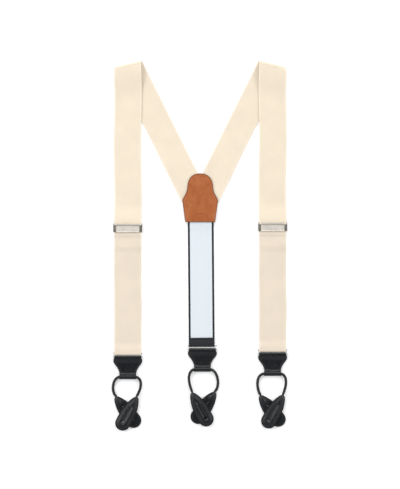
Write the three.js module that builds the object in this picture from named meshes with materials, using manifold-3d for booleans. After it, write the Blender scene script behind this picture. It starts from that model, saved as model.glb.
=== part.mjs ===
// Button-on dress suspenders laid flat, face up, in millimetres.
// X runs across the wearer, Y from the trouser buttons up to the shoulders, Z up off the table.
// Two webbing straps run down the front, fold over at the shoulders and meet in a V under a
// leather patch on the back, from which one elastic strap runs down. Each of the three lower
// ends holds a wire ring, a leather tab on the ring, a cord through the tab, and two leather
// ears on the cord with keyhole buttonholes.
import * as THREE from 'three';
import { mergeVertices } from 'three/addons/utils/BufferGeometryUtils.js';
import Module from 'manifold-3d';

const wasm = await Module();
wasm.setup();

// Space left between pieces that touch, and the sides of a round rod.
const gap = 0.3;
const roundSides = 10;

// Webbing.
const strapWidth = 38;
const strapThickness = 1.2;
const strapX = 101.3;          // centre line of each front strap
const foldY = 256.5;           // where the centre lines of a strap's two runs cross
const foldAngle = 26.4;        // between the front run and the back run, degrees
const bendRadius = 3.5;        // of the strap's middle layer at the shoulder fold
const backStrapEndY = 40;      // the sewn end of the back run, under the patch

// Leather patch on the back.
const patchTopY = 101.6;
const patchBottomY = 33.3;
const patchCornerY = 63;
const patchCornerX = 25;
const patchBottomX = 21;
const domeX = 17.9;
const patchThickness = 1.2;
const liningThickness = 1.0;

// Elastic strap down the back.
const elasticWidth = 36.2;
const elasticX = 1.0;
const elasticLean = 0.46;      // degrees off the centre line
const elasticTopY = 39.4;
const elasticTurnback = 10.5;  // the end that is turned up over the ring and sewn

// Adjusters.
const adjusterHalfHeight = 5.9;
const adjusterInner = 19.4;    // half the clear width between the cheeks
const adjusterOuter = 20.3;
const sheetMetal = 0.9;
const flangeReach = 16.5;      // half the window between the turned-in flanges
const leverHalfWidth = 16.2;
const leverSheet = 1.0;
const pinRadius = 0.6;
const knuckleRadius = 1.4;
const pinY = 4.4;              // above the adjuster's middle

// Wire rings.
const wireRadius = 0.9;
const ringHalfWidth = 20.3;    // to the middle of the wire
const ringPitch = 6.4;         // between the two long bars

// Leather tabs and ears.
const leather = 1.1;
const tabLength = 33;
const earTipRadius = 4.2;
const earRoundRadius = 10.7;
const earLength = 41.5;        // tip to the middle of the round end
const eyeRadius = 1.9;
const eyeBack = 2;             // the eye sits this far up from the middle of the round end
const slitLength = 21;
const slitHalfWidth = 0.45;

// Cord.
const cordRadius = 1.9;

// The three lower ends. A tip is where the cord runs into the ear, and its angle is how far the
// ear points off straight down, positive towards +X. A cord leaves its tab level, and bend gives
// its two Bezier handles: how far out the first is, then how far out and above the tip the second
// is. slack is how far the strap hangs clear of the ring's upper bar, and over marks the ear that
// lies on top of the other.
const ends = [
  {
    name: 'left', x: -101.3, barY: -149.3, slack: 1.2, adjusterY: 25.4,
    left: { tip: [-118.7, -211.2], angle: 38, bend: [21.5, 23.8, 6.2], over: false },
    right: { tip: [-88.1, -211.2], angle: -29, bend: [15.9, 24.0, 19.7], over: true },
  },
  {
    name: 'right', x: 101.3, barY: -144.7, slack: 1.2, adjusterY: 26.8,
    left: { tip: [83.4, -209.6], angle: 38, bend: [26.2, 21.2, 5.3], over: false },
    right: { tip: [116.5, -208.6], angle: -30, bend: [15.3, 23.9, 23.0], over: true },
  },
  {
    name: 'back', x: 3.0, barY: -138.8, slack: 0,
    left: { tip: [-11.9, -205.4], angle: 29, bend: [15.3, 24.4, 25.9], over: true },
    right: { tip: [21.2, -204.6], angle: -35.5, bend: [22.0, 25.7, 6.8], over: false },
  },
];

// Heights that follow from the layers.
const lyingZ = strapThickness / 2;
const layer = strapThickness + gap;
const barZ = wireRadius + gap + strapThickness;
const wrapRadius = wireRadius + gap + strapThickness / 2;
const foldTopZ = lyingZ + 2 * bendRadius;
const tunnelZ = leather + gap + cordRadius;
const tunnelRadius = cordRadius + gap + leather / 2;
const earThickness = 2 * leather + gap;
const rearBarZ = strapThickness + gap;
const clampedZ = rearBarZ + sheetMetal + gap + strapThickness + gap + strapThickness / 2;
const leverZ = clampedZ + strapThickness / 2 + gap;
const pinZ = leverZ + knuckleRadius;

const unitY = new THREE.Vector3(0, 1, 0);
const unitZ = new THREE.Vector3(0, 0, 1);
const radians = THREE.MathUtils.degToRad;

const finishes = {
  webbing: new THREE.MeshStandardMaterial({ color: 0xf3e6cf, roughness: 0.8, metalness: 0 }),
  elastic: new THREE.MeshStandardMaterial({ color: 0xe4ebf2, roughness: 0.85, metalness: 0 }),
  patchLeather: new THREE.MeshStandardMaterial({ color: 0xb56a38, roughness: 0.5, metalness: 0 }),
  blackLeather: new THREE.MeshStandardMaterial({ color: 0x202326, roughness: 0.45, metalness: 0 }),
  cord: new THREE.MeshStandardMaterial({ color: 0x25282a, roughness: 0.6, metalness: 0 }),
  nickel: new THREE.MeshStandardMaterial({ color: 0xc8c3b8, roughness: 0.3, metalness: 1 }),
};

const group = new THREE.Group();

function add(name, finish, geometry) {
  const mesh = new THREE.Mesh(geometry, finishes[finish]);
  mesh.name = name;
  group.add(mesh);
  return mesh;
}

// Booleans.

function solid(geometry) {
  const bare = geometry.clone();
  bare.deleteAttribute('normal');
  bare.deleteAttribute('uv');
  const merged = mergeVertices(bare, 1e-4);
  return new wasm.Manifold(new wasm.Mesh({
    numProp: 3,
    vertProperties: new Float32Array(merged.attributes.position.array),
    triVerts: new Uint32Array(merged.index.array),
  }));
}

function fromSolid(body) {
  const mesh = body.getMesh();
  const geometry = new THREE.BufferGeometry();
  geometry.setAttribute('position', new THREE.BufferAttribute(new Float32Array(mesh.vertProperties), 3));
  geometry.setIndex(new THREE.BufferAttribute(new Uint32Array(mesh.triVerts), 1));
  geometry.computeVertexNormals();
  return geometry;
}

function joined(...geometries) {
  return fromSolid(geometries.map(solid).reduce((all, one) => all.add(one)));
}

function common(first, second) {
  return fromSolid(solid(first).intersect(solid(second)));
}

function cut(first, ...tools) {
  return fromSolid(tools.reduce((rest, tool) => rest.subtract(solid(tool)), solid(first)));
}

function box(x0, x1, y0, y1, z0, z1) {
  return new THREE.BoxGeometry(x1 - x0, y1 - y0, z1 - z0)
    .translate((x0 + x1) / 2, (y0 + y1) / 2, (z0 + z1) / 2);
}

function rodAlongX(x0, x1, y, z, radius) {
  return new THREE.CylinderGeometry(radius, radius, x1 - x0, roundSides)
    .rotateZ(Math.PI / 2)
    .translate((x0 + x1) / 2, y, z);
}

// Bands: a line of [along, up] points given a thickness, then drawn out sideways.

function bandShape(line, thickness) {
  const points = line.map(([a, b]) => new THREE.Vector2(a, b));
  const sideways = points.map((point, i) => {
    const before = points[Math.max(i - 1, 0)];
    const after = points[Math.min(i + 1, points.length - 1)];
    const along = after.clone().sub(before).normalize();
    return new THREE.Vector2(-along.y, along.x).multiplyScalar(thickness / 2);
  });
  const over = points.map((point, i) => point.clone().add(sideways[i]));
  const under = points.map((point, i) => point.clone().sub(sideways[i]));
  return new THREE.Shape([...over, ...under.reverse()]);
}

function drawnOut(shape, halfWidth, along, up) {
  const across = along.clone().cross(up);
  return new THREE.ExtrudeGeometry(shape, { depth: 2 * halfWidth, bevelEnabled: false })
    .translate(0, 0, -halfWidth)
    .applyMatrix4(new THREE.Matrix4().makeBasis(along, up, across));
}

// A band whose line is given as [y, z] and whose width runs along X.
function bandAcross(line, thickness, x, width) {
  return drawnOut(bandShape(line, thickness), width / 2, unitY, unitZ).translate(x, 0, 0);
}

// Points of a soft step between two [along, up] places.
function softStep([a0, z0], [a1, z1], steps = 6) {
  return Array.from({ length: steps + 1 }, (_, i) => {
    const t = i / steps;
    const eased = (1 - Math.cos(Math.PI * t)) / 2;
    return [a0 + (a1 - a0) * t, z0 + (z1 - z0) * eased];
  });
}

// Points of an arc about [a, z], angles in degrees from the +along direction towards up.
function arc([a, z], radius, from, to, steps = 8) {
  return Array.from({ length: steps + 1 }, (_, i) => {
    const angle = radians(from + (to - from) * i / steps);
    return [a + radius * Math.cos(angle), z + radius * Math.sin(angle)];
  });
}

function plate(shape, z0, z1) {
  return new THREE.ExtrudeGeometry(shape, { depth: z1 - z0, bevelEnabled: false, curveSegments: 6 })
    .translate(0, 0, z0);
}

// Straps. side is -1 on the left and +1 on the right.

function foldFrame(side) {
  const half = radians(foldAngle / 2);
  const origin = new THREE.Vector3(side * strapX, foldY, 0);
  const inward = new THREE.Vector3(-side * Math.sin(half), -Math.cos(half), 0);
  return { origin, inward, slope: Math.tan(half), start: Math.PI * bendRadius / 2 };
}

function makeBackStrap(side) {
  const { origin, inward, start } = foldFrame(side);
  const angle = radians(foldAngle);
  const along = new THREE.Vector3(-side * Math.sin(angle), -Math.cos(angle), 0);
  const line = [
    [-20, lyingZ],
    ...softStep([138, lyingZ], [164, liningThickness + gap + lyingZ]),
    [232, liningThickness + gap + lyingZ],
  ];
  const whole = drawnOut(bandShape(line, strapThickness), strapWidth / 2, along, unitZ)
    .translate(origin.x, origin.y, 0);
  const edge = inward.clone().multiplyScalar(start + gap).add(origin);
  const foldLine = inward.clone().cross(unitZ).multiplyScalar(60);
  const keep = new THREE.Shape([
    new THREE.Vector2(edge.x - foldLine.x, edge.y - foldLine.y),
    new THREE.Vector2(edge.x + foldLine.x, edge.y + foldLine.y),
    ...(side < 0
      ? [[-160, backStrapEndY], [-gap / 2, backStrapEndY]]
      : [[gap / 2, backStrapEndY], [160, backStrapEndY]]
    ).map(([x, y]) => new THREE.Vector2(x, y)),
  ]);
  return common(whole, plate(keep, -5, 10));
}

function makeShoulderBend(side) {
  const { origin, inward, slope, start } = foldFrame(side);
  const line = arc([0, 0], bendRadius, -90, -270, 12);
  const half = strapWidth / 2 / Math.cos(radians(foldAngle / 2));
  const geometry = new THREE.ExtrudeGeometry(
    bandShape(line, strapThickness),
    { depth: 2 * half, bevelEnabled: false },
  ).translate(0, 0, -half);
  // The strap crosses the fold at a slant, so each point shifts with its way round the bend.
  const place = geometry.attributes.position;
  for (let i = 0; i < place.count; i += 1) {
    const travel = bendRadius * Math.atan2(place.getY(i), -place.getX(i));
    place.setZ(i, place.getZ(i) - side * travel * slope);
  }
  const across = inward.clone().cross(unitZ);
  const middle = inward.clone().multiplyScalar(start).add(origin);
  return geometry
    .applyMatrix4(new THREE.Matrix4().makeBasis(inward, unitZ, across))
    .translate(middle.x, middle.y, lyingZ + bendRadius);
}

function makeFrontStrap(side, adjusterY) {
  const { origin, inward, start } = foldFrame(side);
  const line = [
    [start + gap, foldTopZ],
    ...softStep([start + 4, foldTopZ], [52, lyingZ + layer], 8),
    ...softStep([88, lyingZ + layer], [116, lyingZ]),
    [190, lyingZ],
  ];
  const overlapY = 126;
  const upper = common(
    drawnOut(bandShape(line, strapThickness), 75, inward, unitZ).translate(origin.x, origin.y, 0),
    box(
      side * strapX - strapWidth / 2, side * strapX + strapWidth / 2,
      overlapY, foldY + 20, -5, foldTopZ + 5,
    ),
  );
  const lower = bandAcross([
    [overlapY + 2, lyingZ],
    ...softStep([adjusterY + 34, lyingZ], [adjusterY + 9, clampedZ]),
    [adjusterY - adjusterHalfHeight - gap, clampedZ],
  ], strapThickness, side * strapX, strapWidth);
  return joined(upper, lower);
}

// The strap's lower run: down to the ring, round it, back up behind, round the adjuster's rear
// bar and down again to a sewn tail.
function makeStrapLoop(side, { barY, slack, adjusterY }) {
  const top = adjusterY - adjusterHalfHeight;
  const rearWrap = rearBarZ + sheetMetal / 2 - lyingZ;
  const line = [
    [top - 2 * gap, clampedZ],
    ...softStep([top - 3, clampedZ], [top - 9, lyingZ + 2 * layer], 4),
    ...softStep([top - 19, lyingZ + 2 * layer], [top - 30, lyingZ + layer], 4),
    ...softStep([barY + 14, lyingZ + layer], [barY + 3, barZ + wrapRadius], 5),
    ...arc([barY - slack, barZ], wrapRadius, 90, 270),
    ...arc([top + 2, lyingZ + rearWrap], rearWrap, -90, 90),
    ...softStep([top - 1.5, lyingZ + 2 * rearWrap], [top - 8, lyingZ + layer], 4),
    [top - 18, lyingZ + layer],
  ];
  return bandAcross(line, strapThickness, side * strapX, strapWidth);
}

function patchOutline(inset = 0) {
  const bottomX = patchBottomX - inset;
  const cornerX = patchCornerX - inset;
  const sideX = domeX - inset;
  const top = patchTopY - inset;
  const bottom = patchBottomY + inset;
  const shape = new THREE.Shape();
  shape.moveTo(0, bottom);
  shape.lineTo(bottomX - 2, bottom);
  shape.quadraticCurveTo(bottomX, bottom, bottomX + 0.2, bottom + 2);
  shape.lineTo(cornerX - 0.3, patchCornerY - 2);
  shape.quadraticCurveTo(cornerX, patchCornerY, cornerX - 0.3, patchCornerY + 1.5);
  shape.bezierCurveTo(cornerX - 1.3, 69, sideX + 0.4, 73, sideX, 83);
  shape.bezierCurveTo(sideX - 0.5, 95, sideX * 0.6, top, 0, top);
  shape.bezierCurveTo(-sideX * 0.6, top, 0.5 - sideX, 95, -sideX, 83);
  shape.bezierCurveTo(-sideX - 0.4, 73, 1.3 - cornerX, 69, 0.3 - cornerX, patchCornerY + 1.5);
  shape.quadraticCurveTo(-cornerX, patchCornerY, 0.3 - cornerX, patchCornerY - 2);
  shape.lineTo(-bottomX - 0.2, bottom + 2);
  shape.quadraticCurveTo(-bottomX, bottom, 2 - bottomX, bottom);
  shape.closePath();
  return shape;
}

function makeElastic(barY) {
  const patchZ = liningThickness + gap + lyingZ;
  const line = [
    [elasticTopY, patchZ],
    ...softStep([patchBottomY, patchZ], [patchBottomY - 16, lyingZ]),
    ...arc([barY, barZ], wrapRadius, -90, -270),
    ...softStep([barY + 2.5, barZ + wrapRadius], [barY + 8, lyingZ + layer], 4),
    [barY + elasticTurnback, lyingZ + layer],
  ];
  return bandAcross(line, strapThickness, 0, elasticWidth);
}

// Adjusters.

function makeAdjusterFrame() {
  const h = adjusterHalfHeight;
  const plateZ = clampedZ - strapThickness / 2 - gap;
  const rearBar = box(-adjusterInner, adjusterInner, -h, 2 - h, rearBarZ, rearBarZ + sheetMetal);
  const base = box(-adjusterInner, adjusterInner, -1.2, h, plateZ - sheetMetal, plateZ);
  const cheeks = [-1, 1].map((side) => {
    const x0 = Math.min(side * adjusterInner, side * adjusterOuter);
    const x1 = Math.max(side * adjusterInner, side * adjusterOuter);
    const wall = box(x0, x1, -h, h, rearBarZ, leverZ + sheetMetal);
    const lug = box(x0, x1, pinY - 1.5, h, leverZ, pinZ + 1.3);
    const flangeX0 = Math.min(side * flangeReach, side * adjusterInner);
    const flangeX1 = Math.max(side * flangeReach, side * adjusterInner);
    const flange = box(flangeX0, flangeX1, -h, pinY - 1.8, leverZ, leverZ + sheetMetal);
    return joined(wall, lug, flange);
  });
  const bore = rodAlongX(-25, 25, pinY, pinZ, pinRadius + gap);
  return cut(joined(base, rearBar, ...cheeks), bore);
}

function makeAdjusterLever() {
  const h = adjusterHalfHeight;
  const section = bandShape([
    [-h - 0.3, leverZ + 1.2],
    [1.2 - h, leverZ + leverSheet / 2],
    [pinY, leverZ + leverSheet / 2],
  ], leverSheet);
  const blade = drawnOut(section, leverHalfWidth, unitY, unitZ);
  const knuckle = rodAlongX(-leverHalfWidth, leverHalfWidth, pinY, pinZ, knuckleRadius);
  const raised = box(-12.5, 12.5, -3.8, 1.8, leverZ + 0.5, leverZ + leverSheet + 0.3);
  const bore = rodAlongX(-25, 25, pinY, pinZ, pinRadius + gap);
  return cut(joined(blade, knuckle, raised), bore);
}

function makeAdjusterPin() {
  return rodAlongX(-adjusterOuter - gap, adjusterOuter + gap, pinY, pinZ, pinRadius);
}

// Ring: two long bars, two short ones, and a ball at each corner.
function makeRing(x, barY) {
  const corners = [-1, 1].flatMap((side) => [barY, barY - ringPitch].map((y) => (
    new THREE.SphereGeometry(wireRadius, roundSides, 6).translate(x + side * ringHalfWidth, y, barZ)
  )));
  const longBars = [barY, barY - ringPitch].map((y) => (
    rodAlongX(x - ringHalfWidth, x + ringHalfWidth, y, barZ, wireRadius)
  ));
  const shortBars = [-1, 1].map((side) => (
    new THREE.CylinderGeometry(wireRadius, wireRadius, ringPitch, roundSides)
      .translate(x + side * ringHalfWidth, barY - ringPitch / 2, barZ)
  ));
  return joined(...longBars, ...shortBars, ...corners);
}

// Tab: drawn with its top edge at y = 0 and hanging towards -Y.

function tabOutline() {
  const shape = new THREE.Shape();
  shape.moveTo(-18.7, 0);
  shape.lineTo(18.7, 0);
  shape.lineTo(19.1, -3.4);
  shape.quadraticCurveTo(20.3, -5.2, 20.3, -7.5);
  shape.bezierCurveTo(20.3, -12, 11.9, -17, 11.7, -25.4);
  shape.lineTo(12.1, -tabLength);
  shape.lineTo(-12.1, -tabLength);
  shape.lineTo(-11.7, -25.4);
  shape.bezierCurveTo(-11.9, -17, -20.3, -12, -20.3, -7.5);
  shape.quadraticCurveTo(-20.3, -5.2, -19.1, -3.4);
  shape.closePath();
  return shape;
}

const tabBarRadius = wireRadius + gap + leather / 2;
const tabBarY = -(tabBarRadius + leather / 2);
const tunnelY = -tabLength + tunnelRadius + leather / 2;

function makeTabFace() {
  const line = [
    [tabBarY - 3.2, barZ - tabBarRadius],
    ...arc([tabBarY, barZ], tabBarRadius, -90, 90),
    ...softStep([tabBarY - 1, barZ + tabBarRadius], [tabBarY - 9, leather * 1.5 + gap], 6),
    [tunnelY + 7.5, leather * 1.5 + gap],
    [tunnelY + 4.2, leather * 1.5 + gap + 1.1],
    ...arc([tunnelY, tunnelZ], tunnelRadius, 52, 270, 12),
    [tunnelY + 2.4, leather / 2],
  ];
  return common(bandAcross(line, leather, 0, 60), plate(tabOutline(), -1, 9));
}

function makeTabBacking() {
  const between = box(-30, 30, tunnelY + 2.4 + gap, tabBarY - 3.2 - gap, -1, leather);
  return common(plate(tabOutline(), 0, leather), between);
}

// Ear: its tip at the origin, pointing along +X, one leather thickness from z = 0.

function makeEarLayer() {
  const side = (sign) => ({
    root: [earTipRadius * 0.5, sign * earTipRadius * 0.866],
    out: [9.9, sign * 8.1],
    full: [19, sign * earRoundRadius],
    end: [31, sign * earRoundRadius],
  });
  const up = side(1);
  const down = side(-1);
  const shape = new THREE.Shape();
  shape.moveTo(...down.root);
  shape.bezierCurveTo(...down.out, ...down.full, ...down.end);
  shape.lineTo(earLength, -earRoundRadius);
  shape.absarc(earLength, 0, earRoundRadius, -Math.PI / 2, Math.PI / 2, false);
  shape.lineTo(...up.end);
  shape.bezierCurveTo(...up.full, ...up.out, ...up.root);
  shape.absarc(earTipRadius, 0, earTipRadius, Math.PI * 2 / 3, Math.PI * 4 / 3, false);
  const eyeX = earLength - eyeBack;
  const mouth = Math.asin(slitHalfWidth / eyeRadius);
  const eye = new THREE.Path();
  eye.moveTo(eyeX - eyeRadius - slitLength, -slitHalfWidth);
  eye.lineTo(eyeX - eyeRadius * Math.cos(mouth), -slitHalfWidth);
  eye.absarc(eyeX, 0, eyeRadius, Math.PI + mouth, 3 * Math.PI - mouth, false);
  eye.lineTo(eyeX - eyeRadius - slitLength, slitHalfWidth);
  eye.closePath();
  shape.holes.push(eye);
  return plate(shape, 0, leather);
}

function earDirection(angle) {
  return new THREE.Vector2(Math.sin(radians(angle)), -Math.cos(radians(angle)));
}

// Cord: out of one ear, up and round into the tab's tunnel, across, and down to the other ear.
function makeCord(end) {
  const axisY = end.barY - ringPitch - tabBarY + tunnelY;
  const legs = [-1, 1].map((side) => {
    const ear = side < 0 ? end.left : end.right;
    const inward = earDirection(ear.angle * 0.5);
    const tipZ = ear.over ? earThickness * 1.5 + gap : cordRadius;
    const direction = earDirection(ear.angle);
    const pivot = new THREE.Vector2(...ear.tip).addScaledVector(direction, earTipRadius);
    const reach = pivot.clone().addScaledVector(inward, -earTipRadius - 2 * gap);
    return new THREE.CubicBezierCurve3(
      new THREE.Vector3(end.x + side * 10.5, axisY, tunnelZ),
      new THREE.Vector3(end.x + side * ear.bend[0], axisY, tunnelZ),
      new THREE.Vector3(end.x + side * ear.bend[1], reach.y + ear.bend[2], tipZ),
      new THREE.Vector3(reach.x, reach.y, tipZ),
    );
  });
  const points = [
    ...legs[0].getPoints(10).reverse(),
    new THREE.Vector3(end.x - 6, axisY, tunnelZ),
    new THREE.Vector3(end.x + 6, axisY, tunnelZ),
    ...legs[1].getPoints(10),
  ];
  const section = new THREE.Shape();
  section.absarc(0, 0, cordRadius, 0, 2 * Math.PI, false);
  return new THREE.ExtrudeGeometry(section, {
    steps: 36,
    curveSegments: 4,
    bevelEnabled: false,
    extrudePath: new THREE.CatmullRomCurve3(points, false, 'centripetal'),
  });
}

// Assembly.

for (const side of [-1, 1]) {
  const name = side < 0 ? 'left' : 'right';
  const end = ends.find((one) => one.name === name);
  add(`${name}_back_strap`, 'webbing', makeBackStrap(side));
  add(`${name}_shoulder_bend`, 'webbing', makeShoulderBend(side));
  add(`${name}_front_strap`, 'webbing', makeFrontStrap(side, end.adjusterY));
  add(`${name}_strap_loop`, 'webbing', makeStrapLoop(side, end));
  const adjuster = [
    add(`${name}_adjuster_frame`, 'nickel', makeAdjusterFrame()),
    add(`${name}_adjuster_lever`, 'nickel', makeAdjusterLever()),
    add(`${name}_adjuster_pin`, 'nickel', makeAdjusterPin()),
  ];
  for (const piece of adjuster) {
    piece.position.set(end.x, end.adjusterY, 0);
  }
}

add('back_patch', 'patchLeather', plate(
  patchOutline(),
  liningThickness + strapThickness + 2 * gap,
  liningThickness + strapThickness + 2 * gap + patchThickness,
));
add('back_patch_lining', 'patchLeather', plate(patchOutline(2.5), 0, liningThickness));

const backEnd = ends.find((one) => one.name === 'back');
const elastic = add('back_elastic', 'elastic', makeElastic(backEnd.barY));
elastic.position.set(elasticX, 0, 0);
elastic.rotation.z = radians(elasticLean);

for (const end of ends) {
  add(`${end.name}_ring`, 'nickel', makeRing(end.x, end.barY));
  const tabY = end.barY - ringPitch - tabBarY;
  add(`${end.name}_tab_face`, 'blackLeather', makeTabFace()).position.set(end.x, tabY, 0);
  add(`${end.name}_tab_backing`, 'blackLeather', makeTabBacking()).position.set(end.x, tabY, 0);
  add(`${end.name}_cord`, 'cord', makeCord(end));
  for (const ear of [end.left, end.right]) {
    const which = ear.over ? 'upper' : 'lower';
    const z = ear.over ? earThickness + gap : 0;
    for (const [part, lift] of [['backing', 0], ['face', leather + gap]]) {
      const mesh = add(`${end.name}_${which}_ear_${part}`, 'blackLeather', makeEarLayer());
      mesh.position.set(...ear.tip, z + lift);
      mesh.rotation.z = radians(ear.angle - 90);
    }
  }
}

// The origin is at the middle of the bottom of the whole.
group.updateMatrixWorld(true);
const bounds = new THREE.Box3().setFromObject(group, true);
group.position.set(
  -(bounds.min.x + bounds.max.x) / 2,
  -(bounds.min.y + bounds.max.y) / 2,
  -bounds.min.z,
);
group.updateMatrixWorld(true);

export default group;
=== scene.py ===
import math

import bmesh
import bpy
import numpy as np
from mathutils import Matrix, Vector


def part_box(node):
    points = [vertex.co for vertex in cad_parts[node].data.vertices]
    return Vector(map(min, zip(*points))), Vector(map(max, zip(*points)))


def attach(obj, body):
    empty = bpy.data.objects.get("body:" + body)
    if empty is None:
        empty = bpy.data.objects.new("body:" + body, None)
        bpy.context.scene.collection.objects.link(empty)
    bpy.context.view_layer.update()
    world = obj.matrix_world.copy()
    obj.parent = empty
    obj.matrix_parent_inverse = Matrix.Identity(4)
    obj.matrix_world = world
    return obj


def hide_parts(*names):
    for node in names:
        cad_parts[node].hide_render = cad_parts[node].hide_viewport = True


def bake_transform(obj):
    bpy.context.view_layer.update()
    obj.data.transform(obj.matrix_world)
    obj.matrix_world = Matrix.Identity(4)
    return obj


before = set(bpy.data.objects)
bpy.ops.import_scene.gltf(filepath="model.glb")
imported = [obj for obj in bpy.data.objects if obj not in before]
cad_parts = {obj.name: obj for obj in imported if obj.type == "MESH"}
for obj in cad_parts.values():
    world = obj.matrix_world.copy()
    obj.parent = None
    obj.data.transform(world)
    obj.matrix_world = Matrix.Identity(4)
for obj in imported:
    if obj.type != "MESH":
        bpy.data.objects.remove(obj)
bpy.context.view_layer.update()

scene = bpy.context.scene
upward = np.array([0.0, 0.0, 1.0])


# The low and high corners of a CAD node's box.
def boxOf(node):
    low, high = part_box(node)
    return np.array(low) * 1000, np.array(high) * 1000


# The frame was centred after it was drawn; this is how far the drawing moved.
drawnRingMiddle = np.array([3.0, -142.0])
shift = sum(boxOf("back_ring"))[:2] / 2 - drawnRingMiddle

ring = dict(halfWidth=20.3, pitch=6.4, corner=1.3, z=2.4, wire=0.9, spacing=0.45)
earTipRadius = 4.2

# An ear's tip is where it was drawn, and its angle turns it from straight down. bend places
# the cord's handles: how far out the first and the second are, and how far the second is
# above the ear. slack is how far the strap hangs down from the ring's bar.
ends = {
    "left": dict(
        lower=dict(tip=(-118.7, -211.2), angle=38, bend=(21.5, 23.8, 6.2)),
        upper=dict(tip=(-88.1, -211.2), angle=-29, bend=(15.9, 24.0, 19.7)),
        slack=1.2,
    ),
    "right": dict(
        lower=dict(tip=(83.4, -209.6), angle=38, bend=(26.2, 21.2, 5.3)),
        upper=dict(tip=(116.5, -208.6), angle=-30, bend=(15.3, 23.9, 23.0)),
        slack=1.2,
    ),
    "back": dict(
        upper=dict(tip=(-11.9, -205.4), angle=29, bend=(15.3, 24.4, 25.9)),
        lower=dict(tip=(21.2, -204.6), angle=-35.5, bend=(22.0, 25.7, 6.8)),
    ),
}
for endName, end in ends.items():
    low, high = boxOf(f"{endName}_ring")
    end["x"] = (low[0] + high[0]) / 2
    end["barY"] = high[1] - ring["wire"]
    if endName != "back":
        low, high = boxOf(f"{endName}_adjuster_frame")
        end["adjusterY"] = (low[1] + high[1]) / 2


# Vectors divided by their lengths.
def unit(vectors):
    return vectors / np.maximum(np.linalg.norm(vectors, axis=-1, keepdims=True), 1e-9)


# A cosine ease: a before x0, b after x1, and half a cosine wave between them.
def ease(x, x0, x1, a, b):
    t = np.clip((x - x0) / (x1 - x0), 0, 1)
    return a + (b - a) * (1 - np.cos(np.pi * t)) / 2


# The same ease as a run of points.
def step(p0, p1, count=14):
    x = np.linspace(p0[0], p1[0], count)
    return np.column_stack([x, ease(x, p0[0], p1[0], p0[1], p1[1])])


# Centre plus radius times cosine and sine, angles in degrees.
def arc(centre, radius, start, stop, count=22):
    angle = np.radians(np.linspace(start, stop, count))
    return np.column_stack([centre[0] + radius * np.cos(angle), centre[1] + radius * np.sin(angle)])


# Cubic Bezier: the four corners weighted by the Bernstein terms.
def bezier(p0, p1, p2, p3, count=16):
    t = np.linspace(0, 1, count)[:, None]
    p0, p1, p2, p3 = (np.array(p, float) for p in (p0, p1, p2, p3))
    return (1 - t) ** 3 * p0 + 3 * t * (1 - t) ** 2 * p1 + 3 * t ** 2 * (1 - t) * p2 + t ** 3 * p3


# Runs of points end to end, without the doubled ones.
def joinRuns(*runs):
    points = np.vstack([np.atleast_2d(np.array(run, float)) for run in runs])
    apart = np.linalg.norm(np.diff(points, axis=0), axis=1) > 1e-4
    return points[np.append(True, apart)]


# The running length: the distances between neighbours, added up.
def lengthsAlong(points):
    return np.append(0, np.cumsum(np.linalg.norm(np.diff(points, axis=0), axis=1)))


# Points spaced evenly by length, by straight interpolation on the running length.
def evenly(points, spacing):
    run = lengthsAlong(points)
    count = max(int(round(run[-1] / spacing)), 2) + 1
    at = np.linspace(0, run[-1], count)
    return np.column_stack([np.interp(at, run, points[:, k]) for k in range(points.shape[1])])


# An even line and its running length, with every point kept where its direction changes by
# more than the limit and every fourth one elsewhere.
def thinned(line, spacing, limit):
    fine = evenly(line, spacing)
    turning = np.linalg.norm(np.gradient(unit(np.gradient(fine, axis=0)), axis=0), axis=1)
    keep = (turning > limit) | (np.arange(len(fine)) % 4 == 0)
    keep[[0, -1]] = True
    return fine[keep], lengthsAlong(fine)[keep]


# Height of a rounded edge: a quarter circle from 0 at the edge to 1 at the radius.
def roundEdge(distance, radius):
    t = np.clip(distance / radius, 0, 1)
    return np.sqrt(np.clip(1 - (1 - t) ** 2, 0, 1))


# A smooth mesh from points. It is turned over when the sum of a . (b x c) over its triangles,
# six times its volume, is negative.
def newPiece(name, material, points, faces, uv=None, marks=None):
    mesh = bpy.data.meshes.new(name)
    mesh.from_pydata((np.asarray(points) / 1000).tolist(), [], faces)
    mesh.update()
    mesh.calc_loop_triangles()
    triangles = np.empty(len(mesh.loop_triangles) * 3, np.int32)
    mesh.loop_triangles.foreach_get("vertices", triangles)
    a, b, c = np.moveaxis(np.asarray(points)[triangles.reshape(-1, 3)], 1, 0)
    if np.einsum("ij,ij->", a, np.cross(b, c)) < 0:
        mesh.flip_normals()
    if uv is not None:
        corners = np.empty(len(mesh.loops), np.int32)
        mesh.loops.foreach_get("vertex_index", corners)
        layer = mesh.uv_layers.new(name="cloth")
        layer.data.foreach_set("uv", uv[corners].astype(np.float32).ravel())
    for mark, values in (marks or {}).items():
        field = mesh.attributes.new(mark, "FLOAT", "POINT")
        field.data.foreach_set("value", values.astype(np.float32).ravel())
    mesh.polygons.foreach_set("use_smooth", np.ones(len(mesh.polygons), bool))
    mesh.materials.append(material)
    piece = bpy.data.objects.new(name, mesh)
    scene.collection.objects.link(piece)
    return piece


# A rigid piece: the body it rides on, a slot name that is not used, and the CAD nodes it stands for, which
# are hidden.
def settle(piece, body, slotName, *nodes):
    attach(piece, body)
    if nodes:
        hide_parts(*nodes)


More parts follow.
